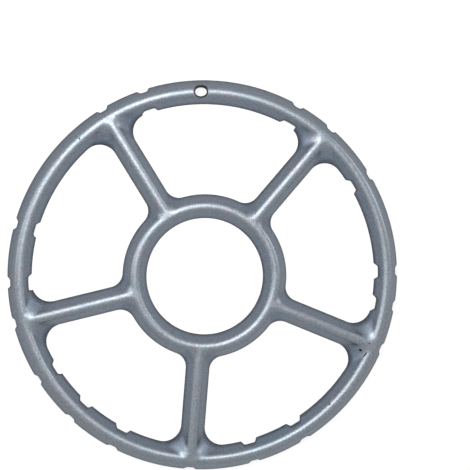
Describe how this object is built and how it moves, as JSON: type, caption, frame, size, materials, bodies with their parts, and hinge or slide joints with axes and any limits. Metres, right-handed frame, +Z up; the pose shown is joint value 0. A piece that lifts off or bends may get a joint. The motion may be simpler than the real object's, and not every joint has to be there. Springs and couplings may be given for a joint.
{
  "type": "gas hob reducer ring",
  "caption": "Flat steel ring with a hub and spokes, pressed as hollow rounded ridges with notched edges, that lets a small pot stand on a gas hob's pan support.",
  "frame": {"origin": "middle of the ring, on the surface that its lower edges stand on", "axes": "+Z up through the hub, +Y towards the hanging hole"},
  "size_m": [0.14, 0.14, 0.005],
  "materials": {
    "steel_sheet": "satin grey, lightly mottled"
  },
  "bodies": {
    "root": {"reducer_ring": "steel_sheet"}
  },
  "joints": []
}
